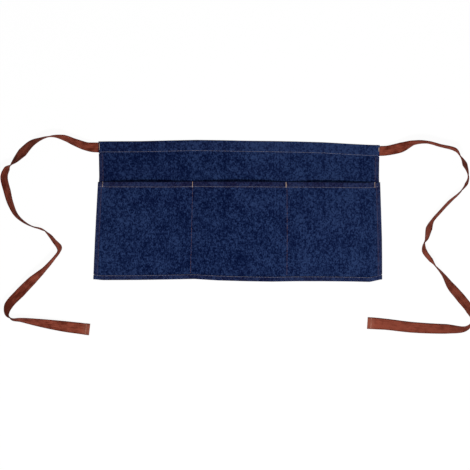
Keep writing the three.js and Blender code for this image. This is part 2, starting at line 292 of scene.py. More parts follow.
def walk(section, length):
    """How far inwards and how high the cloth is after a length of a section."""
    inwards, height = section["start"]
    heading = math.pi
    for part in section["parts"]:
        side = -1 if section["upwards"] else 1
        if "radius" in part:
            angle = min(length / part["radius"], math.pi)
            middle_in = inwards - side * math.sin(heading) * part["radius"]
            middle_up = height + side * math.cos(heading) * part["radius"]
            heading += side * angle
            inwards = middle_in + side * math.sin(heading) * part["radius"]
            height = middle_up - side * math.cos(heading) * part["radius"]
            length -= angle * part["radius"]
        else:
            run = min(length, part["run"])
            inwards += math.cos(heading) * run
            length -= run
    return inwards + DENIM / 2, height


def part_length(part):
    return part["run"] if "run" in part else math.pi * part["radius"]


def bend_lines(section, gap):
    """The lengths along a section where the cloth gets a line, closer together in a turn."""
    lines = [0.0]
    for part in section["parts"]:
        steps = TURN_STEPS if "radius" in part else max(1, round(part["run"] / gap))
        start = lines[-1]
        lines += [start + part_length(part) * step / steps for step in range(1, steps + 1)]
    return lines


def rolled_hem(width):
    """A hem turned twice: its section starts on the top layer, where the hem begins."""
    edge, tuck = turn_radius(2), turn_radius(1)
    back = width - edge - tuck
    parts = [{"run": width - edge}, {"radius": edge}, {"run": back}, {"radius": tuck}]
    parts.append({"run": back - LAYER})
    return {"start": (width, BOTTOM_LIFT + 2 * LAYER), "upwards": False, "parts": parts}


def folded_strip(depth, height, tuck_in):
    """A strip folded over an edge, with the raw edge of its front tucked in."""
    edge, tuck = height / 2, turn_radius(1)
    parts = [{"run": depth - edge}, {"radius": edge}, {"run": depth - edge - tuck}, {"radius": tuck}]
    parts.append({"run": tuck_in})
    return {"start": (depth, BOTTOM_LIFT), "upwards": True, "parts": parts}


def on_top(section, length):
    """Whether a spot of a hem lies in its top layer, before the first turn."""
    return length <= part_length(section["parts"][0])


side_hem = rolled_hem(SIDE_HEM)
mouth_hem = rolled_hem(MOUTH_HEM)
band_fold = folded_strip(WAISTBAND_DEPTH, BAND_HEIGHT, BAND_TUCK)
strip_fold = folded_strip(BOTTOM_STRIP, STRIP_HEIGHT, STRIP_TUCK)
for title, section in (("side hem", side_hem), ("waistband", band_fold), ("bottom strip", strip_fold)):
    print("cloth in the", title, "section:", round(sum(map(part_length, section["parts"])), 4))

# %% [markdown]
# ## Cutting and laying
#
# The grid operator makes a square of evenly spaced lines. Its lines are then moved to the places
# where the cloth is marked: close together at a fold, wider in the open field. The flat place of
# each spot is kept as its UV, in metres, so that the weave later follows the thread and not the
# folded shape.


# %% Cut a flat piece
def cut(columns, rows):
    """A flat piece of cloth with lines at the given places, its right side up."""
    bm = bmesh.new()
    bmesh.ops.create_grid(bm, x_segments=len(columns) - 1, y_segments=len(rows) - 1, size=1)
    flat = bm.loops.layers.uv.new("cut")
    for vert in bm.verts:
        column = round((vert.co.x + 1) / 2 * (len(columns) - 1))
        row = round((vert.co.y + 1) / 2 * (len(rows) - 1))
        vert.co = (columns[column], rows[row], 0)
    for face in bm.faces:
        for loop in face.loops:
            loop[flat].uv = loop.vert.co.xy
    return bm


def snip(bm, unwanted):
    """Cuts away the faces whose middle is unwanted, as a corner is clipped before it is turned."""
    doomed = [face for face in bm.faces if unwanted(face.calc_center_median())]
    bmesh.ops.delete(bm, geom=doomed, context="FACES")


# %% Lay a piece and give it its thickness
def lay(bm, place):
    """Moves each spot of the flat cloth to where it lies, and marks its hem and its painted light and shade.
    """
    hem = bm.verts.layers.float.new("hem")
    painted_light = bm.verts.layers.float.new("painted_light")
    for vert in bm.verts:
        vert.co, vert[hem], vert[painted_light] = place(vert.co.x, vert.co.y)


def piece_from(bm, name, thickness=None):
    """Turns a bmesh into a smooth-shaded object that rides on the apron."""
    for face in bm.faces:
        face.smooth = True
    mesh = bpy.data.meshes.new(name)
    bm.to_mesh(mesh)
    bm.free()
    piece = bpy.data.objects.new(name, mesh)
    bpy.context.scene.collection.objects.link(piece)
    if thickness:
        solid = piece.modifiers.new("thickness", "SOLIDIFY")
        solid.thickness = thickness
        solid.offset = 0
        solid.material_offset = 1
    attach(piece, "root")
    print(name, "has", len(mesh.vertices), "points and", len(mesh.polygons), "faces")
    return piece


# %% [markdown]
# A short table says how much lighter and darker each part of the apron is painted from side to
# side. This is painted light and shade: mostly darker on the left and lighter on the right, as
# the light falls across the apron, with bands of it across the pockets' arches. The finish of the
# cloth reads it later.

# %% Painted light and shade from side to side
PAINTED_LIGHT_ACROSS = [
    {"across": 0.0, "waistband": -0.1, "upper": -0.05, "pockets": 0.15},
    {"across": 0.06, "waistband": -0.1, "upper": -0.14, "pockets": 0.04},
    {"across": 0.2, "waistband": 0.04, "upper": -0.1, "pockets": -0.02},
    {"across": 0.33, "waistband": 0.1, "upper": -0.05, "pockets": -0.08},
    {"across": 0.5, "waistband": 0.18, "upper": 0.02, "pockets": -0.03},
    {"across": 0.75, "waistband": 0.28, "upper": 0.1, "pockets": 0.05},
    {"across": 0.9, "waistband": 0.34, "upper": 0.08, "pockets": 0.1},
    {"across": 1.0, "waistband": 0.34, "upper": 0.05, "pockets": 0.16},
]


# painted light and shade for a part, at a share across the body
def painted_light_across(part, across):
    return follow(PAINTED_LIGHT_ACROSS, "across", part, across)


# %% [markdown]
# ## Back panel
#
# The back panel is the sheet that carries everything. Its sides are turned twice into hems, so
# the flat piece is wider than the finished one. Inside the waistband and the bottom strip the
# hems would be too thick, so their extra cloth is clipped away there, and so are the two top
# corners, where the roots of the ties are tucked in.

# %% Columns and sides shared by the two panels
FIELD_GAP = 0.0045  # between the lines in the open cloth
HIDDEN_GAP = 0.003  # the same in the cloth inside a fold
NEAR_FOLD = 0.003  # this near to a fold the open cloth has closer lines
FOLD_GAP = 0.0005
TIE_SEAT = 0.014  # how much of a tie is sewn inside the waistband
TIE_ROOT_WIDTH = 0.021


def panel_columns(half_width, seams=()):
    """Distances from the middle line, along the cloth, for a panel with two turned sides."""
    fold = half_width - SIDE_HEM
    stops = [HEM_FALL - fold, *((seam - 1 / 2) * HEM_WIDTH for seam in seams), fold - HEM_FALL]
    field = []
    for start, end in zip(stops, stops[1:]):
        steep = spaced(start, start + FIELD_GAP, FIELD_GAP / 4)
        field += steep + spaced(steep[-1], end - FIELD_GAP, FIELD_GAP)[1:-1]
        field += spaced(end - FIELD_GAP, end, FIELD_GAP / 4)[:-1]
    fall = spaced(fold - HEM_FALL, fold, HEM_FALL / 3)[:-1]
    hem = [fold + length for length in bend_lines(side_hem, FIELD_GAP / 2)]
    return [-x for x in reversed(hem)] + [-x for x in reversed(fall[1:])] + field + fall + hem


def side_fold(x, half_width):
    """How far in from its side the cloth lies, and its height if it is in the turned hem."""
    into_hem = abs(x) - (half_width - SIDE_HEM)
    if into_hem <= 0:
        return half_width - abs(x), None
    inwards, height = walk(side_hem, into_hem)
    return inwards, None if on_top(side_hem, into_hem) else height


def across_from(inwards, x):
    """The share across the body for a distance in from the left or the right side."""
    return inwards / HEM_WIDTH if x < 0 else 1 - inwards / HEM_WIDTH


def hem_mark(inwards, width=SIDE_HEM):
    """1 on a hem, 0 in the open cloth."""
    return 1 - smoothstep(inwards, width, width + MARK_BLUR)


# %% Cut and lay the back panel
def lay_back(x, y):
    inwards, turned_height = side_fold(x, HEM_WIDTH / 2)
    across, below = across_from(inwards, x), -y
    spot = on_body(across, below)
    over = turned_height or SINGLE_LIFT + hem_extra(inwards, below)
    spot.z = back_underside(below) + over + ripple(spot)
    return spot, hem_mark(inwards), painted_light_across("upper", across)


back_rows = [
    *spaced(WAISTBAND_DEPTH - SEAM_ALLOWANCE, WAISTBAND_DEPTH, HIDDEN_GAP)[:-1],
    *spaced(WAISTBAND_DEPTH, WAISTBAND_DEPTH + NEAR_FOLD, FOLD_GAP),
    *spaced(WAISTBAND_DEPTH + NEAR_FOLD, HEM_LINE - NEAR_FOLD, FIELD_GAP)[1:-1],
    *spaced(HEM_LINE - NEAR_FOLD, HEM_LINE, FOLD_GAP),
    HEM_LINE + BOTTOM_STRIP / 2,
]
back_columns = panel_columns(HEM_WIDTH / 2)
bm = cut(back_columns, [-row for row in reversed(back_rows)])


def clipped_back(middle):
    below = -middle.y
    in_hem = abs(middle.x) > HEM_WIDTH / 2 - 2 * LAYER
    at_root = abs(middle.x) > HEM_WIDTH / 2 - TIE_SEAT and below < WAISTBAND_DEPTH
    return (in_hem and inside_folds(below)) or at_root


snip(bm, clipped_back)
lay(bm, lay_back)
back_cloth = piece_from(bm, "back_cloth", DENIM)
back_flat = (back_columns[-1] - back_columns[0], back_rows[-1] - back_rows[0])
print("the back panel is cut", [round(side, 3) for side in back_flat])

# %% [markdown]
# ## Pocket panel
#
# One wide piece makes all three pockets. Its top edge is turned twice for the mouths, and its
# sides are hemmed like the back panel's. Where both hems meet at a corner, the mouth's extra
# cloth is clipped, as it is on a real corner to keep it thin enough to sew.

# %% Cut and lay the pocket panel
POCKET_HALF = HEM_WIDTH / 2 + OVERHANG


def pocket_top(inwards, below):
    """The height of the top layer over the underside of the panel, on a hem or off it."""
    past_mouth = below - POCKET_DROP - MOUTH_HEM
    mouth_extra = THREE_LAYERS * (1 - smoothstep(past_mouth, 0, HEM_FALL))
    return SINGLE_LIFT + max(hem_extra(inwards, below), mouth_extra)


def lay_pocket(x, y):
    inwards, side_height = side_fold(x, POCKET_HALF)
    across = across_from(inwards - OVERHANG, x)
    from_mouth, mouth_height = MOUTH_HEM - y, None
    if y > 0:
        from_mouth, height = walk(mouth_hem, y)
        mouth_height = None if on_top(mouth_hem, y) else height
    below = POCKET_DROP + from_mouth
    spot = on_body(across, below)
    over = side_height or mouth_height or pocket_top(inwards, below)
    spot.z = pocket_underside(across, below) + over + ripple(spot)
    hem = max(hem_mark(from_mouth, MOUTH_HEM), hem_mark(inwards))
    return spot, hem, painted_light_across("pockets", across)


mouth_lines = bend_lines(mouth_hem, FIELD_GAP / 2)
pocket_end = HEM_LINE - POCKET_DROP - MOUTH_HEM
pocket_rows = [
    *spaced(-pocket_end - BOTTOM_STRIP / 2, -pocket_end, HIDDEN_GAP)[:-1],
    *spaced(-pocket_end, -pocket_end + NEAR_FOLD, FOLD_GAP),
    *spaced(-pocket_end + NEAR_FOLD, -HEM_FALL, FIELD_GAP)[1:-1],
    *spaced(-HEM_FALL, 0, HEM_FALL / 3)[:-1],
    *mouth_lines,
]
pocket_columns = panel_columns(POCKET_HALF, [row["seam"] for row in POCKETS[:-1]])
bm = cut(pocket_columns, pocket_rows)


def clipped_pocket(middle):
    below = POCKET_DROP + MOUTH_HEM - middle.y
    in_side_hem = abs(middle.x) > POCKET_HALF - 2 * LAYER
    turned_mouth = not on_top(mouth_hem, middle.y)
    over_side_hem = abs(middle.x) > POCKET_HALF - SIDE_HEM
    return (in_side_hem and inside_folds(below)) or (turned_mouth and over_side_hem)


snip(bm, clipped_pocket)
lay(bm, lay_pocket)
pocket_cloth = piece_from(bm, "pocket_cloth", DENIM)
pocket_flat = (pocket_columns[-1] - pocket_columns[0], pocket_rows[-1] - pocket_rows[0])
print("the pocket panel is cut", [round(side, 3) for side in pocket_flat])

# %% [markdown]
# ## Waistband and bottom strip
#
# Both are strips folded over an edge. The strip's right side faces down on the rear leg, goes
# round the fold, and faces up on the front leg, where the raw edge is tucked in.


# %% Cut and lay the two strips
STRIP_GAP = 0.004  # between the lines along a strip's depth
BAND_WEAR = 0.2  # how worn the right side is, from 0 to 1
STRIP_WEAR = 0.6


def on_bottom(across, inwards):
    return on_body(across, BODY_HEIGHT - inwards)


def folded_piece(name, section, half_width, place, faces_down, wear, part):
    """A strip that follows a section; place gives the spot at a share across and a depth."""
    lengths = bend_lines(section, STRIP_GAP)
    rows = [-length for length in reversed(lengths)] if faces_down else lengths
    columns = spaced(-half_width, half_width, FIELD_GAP)
    bm = cut(columns, rows)

    def lay_strip(x, y):
        inwards, height = walk(section, abs(y))
        across = 1 / 2 + x / HEM_WIDTH
        spot = place(across, inwards)
        spot.z = height + ripple(spot)
        return spot, wear, painted_light_across(part, across)

    lay(bm, lay_strip)
    return piece_from(bm, name, DENIM), (columns[-1] - columns[0], lengths[-1])


waistband_cloth, waistband_flat = folded_piece(
    "waistband_cloth", band_fold, HEM_WIDTH / 2, on_body, faces_down=True, wear=BAND_WEAR, part="waistband"
)
bottom_hem_cloth, bottom_hem_flat = folded_piece(
    "bottom_hem_cloth", strip_fold, POCKET_HALF, on_bottom, faces_down=False, wear=STRIP_WEAR, part="pockets"
)
print("the waistband is cut", [round(side, 3) for side in waistband_flat])
print("the bottom strip is cut", [round(side, 3) for side in bottom_hem_flat])

# %% [markdown]
# ## Ties
#
# A tie is a long woven tape. A limp tape that was laid down doesn't stay flat: it leans, stands
# on one edge and turns over. Its route is a list of places, each with a roll,
# which is the tape's turn about its own length. A smooth curve through the places carries it.

# %% Routes of the ties
TIE_LENGTH = 0.820
TIE_WIDTH = 0.025
TAPE = 0.0009
TAPE_BOW = 0.0018  # a tape that stands on its edge bows sideways by this much
TIE_ROOT_DROP = 0.013  # from the waist down to the middle of a root
TIE_TUCK = 0.05  # over this length from the root a tie opens out to its full width
ROOT_LIFT = 0.0013  # the underside of a root, inside the waistband
TIE_LEFT = [
    {"out": 0.0, "down": 0.0, "roll": 0},
    {"out": 0.028, "down": -0.002, "roll": 40},
    {"out": 0.06, "down": -0.013, "roll": 54},
    {"out": 0.089, "down": -0.025, "roll": 63},
    {"out": 0.125, "down": -0.029, "roll": 90},
    {"out": 0.151, "down": -0.021, "roll": 106},
    {"out": 0.173, "down": -0.01, "roll": 125},
    {"out": 0.196, "down": 0.013, "roll": 141},
    {"out": 0.217, "down": 0.036, "roll": 113},
    {"out": 0.228, "down": 0.046, "roll": 90},
    {"out": 0.235, "down": 0.054, "roll": 64},
    {"out": 0.243, "down": 0.075, "roll": 55},
    {"out": 0.235, "down": 0.113, "roll": 56},
    {"out": 0.226, "down": 0.145, "roll": 63},
    {"out": 0.21, "down": 0.176, "roll": 74},
    {"out": 0.174, "down": 0.203, "roll": 90},
    {"out": 0.146, "down": 0.211, "roll": 98},
    {"out": 0.125, "down": 0.227, "roll": 77},
    {"out": 0.113, "down": 0.242, "roll": 72},
    {"out": 0.101, "down": 0.257, "roll": 64},
    {"out": 0.102, "down": 0.268, "roll": 78},
    {"out": 0.1135, "down": 0.284, "roll": 78},
    {"out": 0.139, "down": 0.313, "roll": 70},
    {"out": 0.1715, "down": 0.343, "roll": 46},
    {"out": 0.201, "down": 0.373, "roll": 39},
    {"out": 0.232, "down": 0.408, "roll": 47},
    {"out": 0.235, "down": 0.431, "roll": 76},
    {"out": 0.224, "down": 0.442, "roll": 100},
    {"out": 0.2, "down": 0.444, "roll": 110},
    {"out": 0.148, "down": 0.452, "roll": 133},
    {"out": 0.086, "down": 0.461, "roll": 156},
    {"out": 0.0235, "down": 0.4685, "roll": 168},
]
TIE_RIGHT = [
    {"out": 0.0, "down": 0.0, "roll": 0},
    {"out": 0.019, "down": -0.001, "roll": 24},
    {"out": 0.055, "down": -0.009, "roll": 34},
    {"out": 0.088, "down": -0.021, "roll": 69},
    {"out": 0.122, "down": -0.0225, "roll": 79},
    {"out": 0.157, "down": -0.0135, "roll": 78},
    {"out": 0.195, "down": -0.003, "roll": 75},
    {"out": 0.207, "down": 0.011, "roll": 90},
    {"out": 0.219, "down": 0.034, "roll": 117},
    {"out": 0.229, "down": 0.066, "roll": 90},
    {"out": 0.223, "down": 0.085, "roll": 78},
    {"out": 0.2095, "down": 0.1045, "roll": 94},
    {"out": 0.1795, "down": 0.131, "roll": 105},
    {"out": 0.1525, "down": 0.16, "roll": 105},
    {"out": 0.136, "down": 0.1795, "roll": 106},
    {"out": 0.127, "down": 0.2, "roll": 125},
    {"out": 0.121, "down": 0.225, "roll": 109},
    {"out": 0.114, "down": 0.243, "roll": 80},
    {"out": 0.1155, "down": 0.258, "roll": 67},
    {"out": 0.132, "down": 0.281, "roll": 72},
    {"out": 0.143, "down": 0.294, "roll": 90},
    {"out": 0.165, "down": 0.321, "roll": 108},
    {"out": 0.18, "down": 0.344, "roll": 128},
    {"out": 0.187, "down": 0.353, "roll": 135},
    {"out": 0.211, "down": 0.381, "roll": 141},
    {"out": 0.233, "down": 0.411, "roll": 135},
    {"out": 0.238, "down": 0.44, "roll": 90},
    {"out": 0.222, "down": 0.457, "roll": 69},
    {"out": 0.171, "down": 0.458, "roll": 38},
    {"out": 0.084, "down": 0.454, "roll": 27},
    {"out": 0.014, "down": 0.446, "roll": 22},
    {"out": -0.031, "down": 0.443, "roll": 0},
]

# %% [markdown]
# The curve is a centripetal Catmull-Rom spline: it passes through every place, and it doesn't
# overshoot where two places lie close together. Blender's own curve types would need handles
# for that, so the spline is worked out here, a span at a time, and measured as it goes.


# %% The curve through the places
def span(before, start, end, after, share):
    """The place and the direction at a share of the span between start and end."""
    knots = [math.sqrt((b - a).length) for a, b in ((before, start), (start, end), (end, after))]
    leave = (start - before) / knots[0] - (end - before) / (knots[0] + knots[1]) + (end - start) / knots[1]
    reach = (end - start) / knots[1] - (after - start) / (knots[1] + knots[2]) + (after - end) / knots[2]
    leave, reach = leave * knots[1], reach * knots[1]
    square = 3 * (end - start) - 2 * leave - reach
    cube = 2 * (start - end) + leave + reach
    place = start + leave * share + square * share**2 + cube * share**3
    return place, (leave + 2 * square * share + 3 * cube * share**2).normalized()


STATIONS_PER_SPAN = 24


def stations_of(route, side):
    """Closely spaced stations along a tie: place, heading, roll and length from its root."""
    root = on_body((side + 1) / 2, TIE_ROOT_DROP)
    rows = [{"out": -TIE_SEAT / TIE_LENGTH, "down": 0, "roll": 0}, *route]
    places = [root + TIE_LENGTH * Vector((side * row["out"], -row["down"], 0)) for row in rows]
    places = [2 * places[0] - places[1], *places, 2 * places[-1] - places[-2]]
    stations, done = [], -TIE_SEAT
    for n in range(len(rows) - 1):
        last = n == len(rows) - 2
        for step in range(STATIONS_PER_SPAN + last):
            share = step / STATIONS_PER_SPAN
            place, heading = span(*places[n : n + 4], share)
            if stations:
                done += (place - stations[-1]["place"]).length
            roll = math.radians(lerp(rows[n]["roll"], rows[n + 1]["roll"], share))
            stations.append({"place": place, "heading": heading, "roll": roll, "done": done})
    return stations


def station_at(stations, done):
    """The station at a length from the root, blended between its two neighbours."""
    last = len(stations) - 1
    upper = next((n for n, station in enumerate(stations) if station["done"] > done), last)
    start, end = stations[max(upper, 1) - 1], stations[max(upper, 1)]
    share = clamp((done - start["done"]) / (end["done"] - start["done"]))
    mixed = {key: lerp(start[key], end[key], share) for key in start}
    mixed["heading"].normalize()
    return mixed


# %% [markdown]
# The tape is cut as one long grid, with its length along X. At each station it gets a cross
# line that leans by the roll, and it is lifted so that its lower edge touches the floor. Its
# last 9 mm are turned under and sewn, so that the end can't fray. The tape's colour also
# carries painted light and shade: it is painted darker where the left tie bends and turns its
# face away from the light, and paler towards its end.

# %% Painted light and shade along the ties
TIE_PAINTED_LIGHT = [
    {"along": 0.0, "left": -0.1, "right": 0.25},
    {"along": 0.03, "left": -0.1, "right": -0.1},
    {"along": 0.2, "left": 0.0, "right": -0.1},
    {"along": 0.28, "left": -0.35, "right": 0.0},
    {"along": 0.4, "left": -0.3, "right": 0.0},
    {"along": 0.5, "left": 0.0, "right": 0.0},
    {"along": 0.65, "left": -0.05, "right": 0.2},
    {"along": 0.72, "left": -0.3, "right": 0.2},
    {"along": 0.76, "left": -1.1, "right": 0.3},
    {"along": 0.8, "left": 0.0, "right": 0.35},
    {"along": 1.0, "left": 0.05, "right": 0.4},
]

# %% Cut and lay the ties
TIE_END_TURN = 0.009
TIE_GAP = 0.003
TIE_STEPS_ACROSS = 8
end_radius = turn_radius(1) * 1.2  # the tape is a little thicker than a layer of denim


def laid_tape(stations, side, done, v):
    """The spot on a tie's middle layer, and the way out of its upper face."""
    at = station_at(stations, done)
    half_width = lerp(TIE_ROOT_WIDTH, TIE_WIDTH, smoothstep(done, 0, TIE_TUCK)) / 2
    lean, level = math.sin(at["roll"]), math.cos(at["roll"])
    left = Vector((-at["heading"].y * level, at["heading"].x * level, side * lean))
    normal = at["heading"].cross(left).normalized()
    spot = at["place"] + left * half_width * v + normal * TAPE_BOW * lean**2 * (1 - v * v)
    spot.z += ROOT_LIFT * (1 - smoothstep(done, 0, SETTLE_RUN))
    spot.z += half_width * abs(lean) + TAPE / 2 * abs(level)
    return spot, normal


def cut_tie(name, route, side):
    stations = stations_of(route, side)
    column = "left" if side < 0 else "right"
    end = stations[-1]["done"] - end_radius
    steps = range(1, TURN_STEPS + 1)
    turned = [end + end_radius * math.pi * step / TURN_STEPS for step in steps]
    tail = spaced(turned[-1], turned[-1] + TIE_END_TURN, TIE_GAP)[1:]
    columns = [*spaced(-TIE_SEAT, end, TIE_GAP), *turned, *tail]
    rows = spaced(-TIE_WIDTH / 2, TIE_WIDTH / 2, TIE_WIDTH / TIE_STEPS_ACROSS)
    bm = cut(columns, rows)

    def lay_tie(x, y):
        angle = clamp((x - end) / end_radius, 0, math.pi)
        back = max(0, x - turned[-1])
        done = min(x, end) + end_radius * math.sin(angle) - back
        spot, normal = laid_tape(stations, side, done, y / (TIE_WIDTH / 2))
        downwards = -normal if normal.z > 0 else normal
        on_turn = smoothstep(done, end - 2 * TIE_END_TURN, end - TIE_END_TURN)
        spot -= downwards * 2 * end_radius * on_turn
        spot += downwards * end_radius * (1 - math.cos(angle))
        # the last value is the painted light and shade along the tie
        return spot, on_turn, follow(TIE_PAINTED_LIGHT, "along", column, done / TIE_LENGTH)

    lay(bm, lay_tie)
    tie = piece_from(bm, name, TAPE)
    print(name, "is cut", round(columns[-1] - columns[0], 3), "long")
    return tie, (TIE_WIDTH, columns[-1] - columns[0]), stations


tie_left_tape, tie_left_flat, left_stations = cut_tie("tie_left_tape", TIE_LEFT, -1)
tie_right_tape, tie_right_flat, right_stations = cut_tie("tie_right_tape", TIE_RIGHT, 1)

# %% [markdown]
# ## Stitching
#
# A lockstitch shows as a row of short threads, each coming up out of the cloth and going down
# again. So one stitch is a thin ellipsoid of few faces, sunk to half its height, and a seam is
# many of them placed along a path on the cloth's upper side.

# %% One stitch and a seam of them
STITCH = 0.0028
STITCH_PITCH = 0.0032
THREAD = 0.0007
PATH_SAMPLES = 400  # how finely a path is measured


def add_stitch(bm, start, end, width):
    """One stitch between two points on the cloth."""
    along = end - start
    turn = along.to_track_quat("Z", "Y").to_matrix().to_4x4()
    size = Matrix.Diagonal((width / 2, width * 0.45, along.length / 2, 1))
    matrix = Matrix.Translation((start + end) / 2) @ turn @ size
    bmesh.ops.create_uvsphere(bm, u_segments=6, v_segments=5, radius=1, matrix=matrix)


def evenly(path, pitch):
    """Points along a path, a pitch apart. path gives a point for each share of the way."""
    samples = [path(step / PATH_SAMPLES) for step in range(PATH_SAMPLES + 1)]
    points, since = [samples[0]], 0.0
    for before, after in zip(samples, samples[1:]):
        gap = (after - before).length
        while since + gap >= pitch:
            before = before + (after - before) * (pitch - since) / gap
            gap = (after - before).length
            points.append(before)
            since = 0.0
        since += gap
    return points


def sew(name, paths, width=THREAD):
    """One piece with a row of stitches along each path."""
    bm = bmesh.new()
    for path in paths:
        points = evenly(path, STITCH_PITCH)
        for start, end in zip(points, points[1:]):
            add_stitch(bm, start, lerp(start, end, STITCH / STITCH_PITCH), width)
    stitches = piece_from(bm, name)
    return stitches


# %% [markdown]
# The paths of the seams lie on the upper faces of the pieces laid above: each one asks the
# same height functions, and adds half a layer of cloth.

# %% Paths of the seams
WAIST_SEAM = 0.0226
MOUTH_SEAM = 0.0108
SIDE_SEAM_IN = 0.0084
BOTTOM_SEAM = 0.0092
SURFACE = DENIM / 2 + 0.00005  # half a layer, and a hair's breadth
SIDE_SHARE = 0.002  # this share short of a side, or past it on the wider pocket panel
SEAM_START = 0.002  # below the mouths of the pockets
SEAM_STOP = 0.001  # before the next edge
BACK_SEAM_START = 0.004  # below the waistband


def upper_face(across, below, height):
    """A spot on the upper face of the cloth, whose top layer lies at a height."""
    spot = on_body(across, below)
    spot.z = height + ripple(spot) + SURFACE
    return spot


def on_band(across, below):
    return upper_face(across, below, BOTTOM_LIFT + BAND_HEIGHT)


def on_back(across, below):
    over = SINGLE_LIFT + hem_extra(from_side(across), below)
    return upper_face(across, below, back_underside(below) + over)


def on_pocket(across, below):
    over = pocket_top(from_side(across) + OVERHANG, below)
    return upper_face(across, below, pocket_underside(across, below) + over)


def waist_path(share):
    return on_band(lerp(SIDE_SHARE, 1 - SIDE_SHARE, share), WAIST_SEAM)


def mouth_path(share):
    return on_pocket(lerp(-SIDE_SHARE, 1 + SIDE_SHARE, share), POCKET_DROP + MOUTH_SEAM)


def bottom_path(share):
    across = lerp(-SIDE_SHARE, 1 + SIDE_SHARE, share)
    return upper_face(across, BODY_HEIGHT - BOTTOM_SEAM, BOTTOM_LIFT + STRIP_HEIGHT)


def down_path(surface, across, start, end):
    """A seam straight down a panel."""
    return lambda share: surface(across, lerp(start, end, share))


# %% [markdown]
# The seams are sewn in one long row each, as a machine does it: along the waistband, along the
# mouths, between the pockets, along the bottom strip, and down the hems at both sides. The side
# seams start again on the pocket panel, which lies over the back panel there.

# %% Sew the seams
dividers = [row["seam"] for row in POCKETS[:-1]]
side_share = SIDE_SEAM_IN / HEM_WIDTH
pocket_side = (SIDE_SEAM_IN - OVERHANG) / HEM_WIDTH
waist_stitches = sew("waist_stitches", [waist_path])
mouth_stitches = sew("mouth_stitches", [mouth_path])
on_pockets = (POCKET_DROP + SEAM_START, HEM_LINE - SEAM_STOP)
above_pockets = (WAISTBAND_DEPTH + BACK_SEAM_START, POCKET_DROP - SEAM_STOP)
divider_paths = [down_path(on_pocket, across, *on_pockets) for across in dividers]
divider_stitches = sew("divider_stitches", divider_paths)
bottom_stitches = sew("bottom_stitches", [bottom_path])
side_paths = [down_path(on_back, across, *above_pockets) for across in (side_share, 1 - side_share)]
side_paths += [down_path(on_pocket, across, *on_pockets) for across in (pocket_side, 1 - pocket_side)]
side_stitches = sew("side_stitches", side_paths)

# %% [markdown]
# A bar tack locks the end of a seam that is pulled hard. It is a dense zigzag: thread laid
# crosswise again and again over the end of the seam.

# %% Bar tacks
TACK_START = 0.0008  # below the mouth
TACK_LENGTH = 0.0116
TACK_PITCH = 0.00045
TACK_THREAD = THREAD * 1.1
BAR_TACKS = [
    {"seam": pocket_side, "beside": 0.0035, "width": 0.0008},
    {"seam": dividers[0], "beside": -0.001, "width": 0.002},
    {"seam": dividers[1], "beside": -0.0035, "width": 0.002},
    {"seam": 1 - pocket_side, "beside": -0.0055, "width": 0.0014},
]


def add_tack(bm, path, width):
    """Crosswise threads along a path, leaning a little to and fro as a zigzag does."""
    points = evenly(path, TACK_PITCH)
    for n, (start, end) in enumerate(zip(points, points[1:])):
        along = (end - start).normalized()
        across = along.cross(Vector((0, 0, 1))) * width / 2
        slant = along * TACK_PITCH * (1 if n % 2 else -1)
        add_stitch(bm, start - across - slant, start + across + slant, TACK_THREAD)


bm = bmesh.new()
start = POCKET_DROP + TACK_START
for row in BAR_TACKS:
    path = down_path(on_pocket, row["seam"] + row["beside"], start, start + TACK_LENGTH)
    add_tack(bm, path, row["width"])
bar_tacks = piece_from(bm, "bar_tacks")

# %% [markdown]
# The roots of the ties carry the whole pull when the apron is worn. So the waistband is tacked
# down over them with the same dense zigzag, close to its two ends.

# %% Tacks over the roots of the ties
ROOT_TACKS = [
    {"across": 0.003, "start": 0.004, "end": 0.019, "width": 0.0011},
    {"across": 0.9975, "start": 0.0055, "end": 0.0145, "width": 0.0018},
]
bm = bmesh.new()
for row in ROOT_TACKS:
    add_tack(bm, down_path(on_band, row["across"], row["start"], row["end"]), row["width"])
root_tacks = piece_from(bm, "root_tacks")

# %% [markdown]
# The turned end of a tie is held by one row of thicker stitches from edge to edge. Its path asks
# the same function that laid the tape, and climbs over the turned layers.

# %% Stitching across the turned ends of the ties
END_SEAM = TIE_END_TURN - 0.0015  # from the end of a tie to its seam
END_SEAM_SHARE = 0.92  # of the tape's width
END_THREAD = 0.0014


def end_path(stations, side):
    def path(share):
        done = stations[-1]["done"] - END_SEAM
        sideways = lerp(-END_SEAM_SHARE, END_SEAM_SHARE, share)
        spot, normal = laid_tape(stations, side, done, sideways)
        upwards = normal if normal.z > 0 else -normal
        return spot + upwards * (2 * end_radius + TAPE / 2)

    return path


end_paths = [end_path(left_stations, -1), end_path(right_stations, 1)]
tie_end_stitches = sew("tie_end_stitches", end_paths, width=END_THREAD)

# %% [markdown]
# ## Denim
#
# Denim is a steep twill: dark blue threads lie along the cloth on its right side, and pale ones
# cross them and peep through as fine slanting lines. The blue threads are uneven, so the cloth
# has short streaks along them and soft mottles. The finish reads the flat place of each spot,
# in metres, so that every pattern has its true size and turns with the cloth.

# %% Small helpers for node trees
def node(tree, kind, **settings):
    """Adds a node and sets its named properties."""
    made = tree.nodes.new(kind)
    for name, value in settings.items():
        setattr(made, name, value)
    return made


def join(tree, source, target):
    tree.links.new(source, target)


def noise_at(tree, coordinates, per_metre, detail, roughness, seed):
    """Noise whose grains are one over per_metre long in each direction."""
    place = node(tree, "ShaderNodeMapping")
    place.inputs["Scale"].default_value = (*per_metre, 1)
    place.inputs["Location"].default_value = (seed, seed * 1.7, 0)
    made = node(tree, "ShaderNodeTexNoise", noise_dimensions="2D")
    made.inputs["Scale"].default_value = 1
    made.inputs["Detail"].default_value = detail
    made.inputs["Roughness"].default_value = roughness
    join(tree, coordinates, place.inputs["Vector"])
    join(tree, place.outputs["Vector"], made.inputs["Vector"])
    return made.outputs["Fac"]


STRAIGHT_WAVES = 20  # a wave texture of scale 1 turns this many radians for each unit
SLANTING_WAVES = 10


